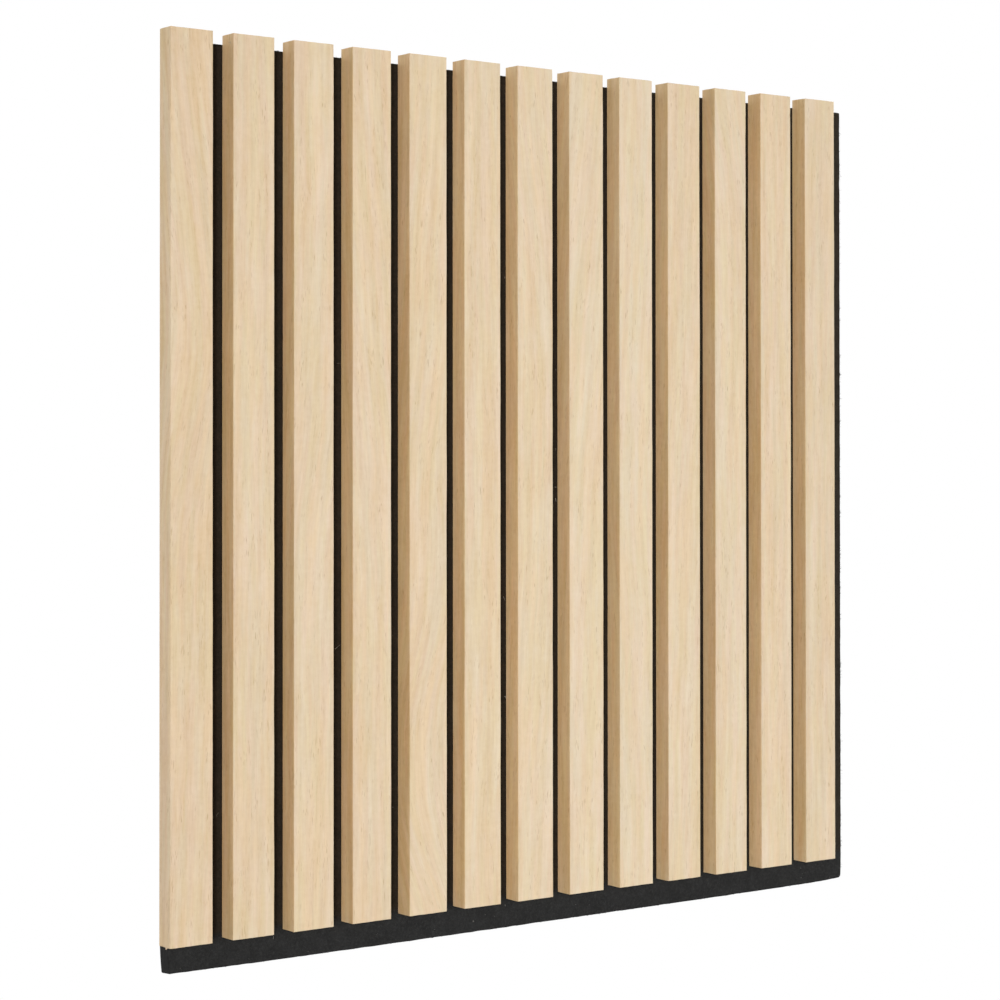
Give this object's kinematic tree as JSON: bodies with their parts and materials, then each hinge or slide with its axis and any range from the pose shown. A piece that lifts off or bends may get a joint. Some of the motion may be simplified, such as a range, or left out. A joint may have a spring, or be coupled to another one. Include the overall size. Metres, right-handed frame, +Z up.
{
  "type": "slatted acoustic panel",
  "caption": "Square slatted acoustic wall panel: upright pale oak slats with open gaps, stapled to a black felt backing that is offset so that neighbouring panels butt together.",
  "frame": {"origin": "centre of the felt backing's back face, which lies on the wall", "axes": "+Z up along the slats, +Y into the wall, +X to the right for someone who faces the panel"},
  "size_m": [0.5235, 0.021, 0.5235],
  "materials": {
    "pale_oak": "matt pale oak veneer with straight grain along the slat",
    "black_felt": "dense needled polyester felt, black, matt",
    "staple_steel": "galvanised wire, dull"
  },
  "bodies": {
    "root": {"felt_backing": "black_felt", "slat_01": "pale_oak", "slat_02": "pale_oak", "slat_03": "pale_oak", "slat_04": "pale_oak", "slat_05": "pale_oak", "slat_06": "pale_oak", "slat_07": "pale_oak", "slat_08": "pale_oak", "slat_09": "pale_oak", "slat_10": "pale_oak", "slat_11": "pale_oak", "slat_12": "pale_oak", "slat_13": "pale_oak", "staples": "staple_steel"}
  },
  "joints": []
}
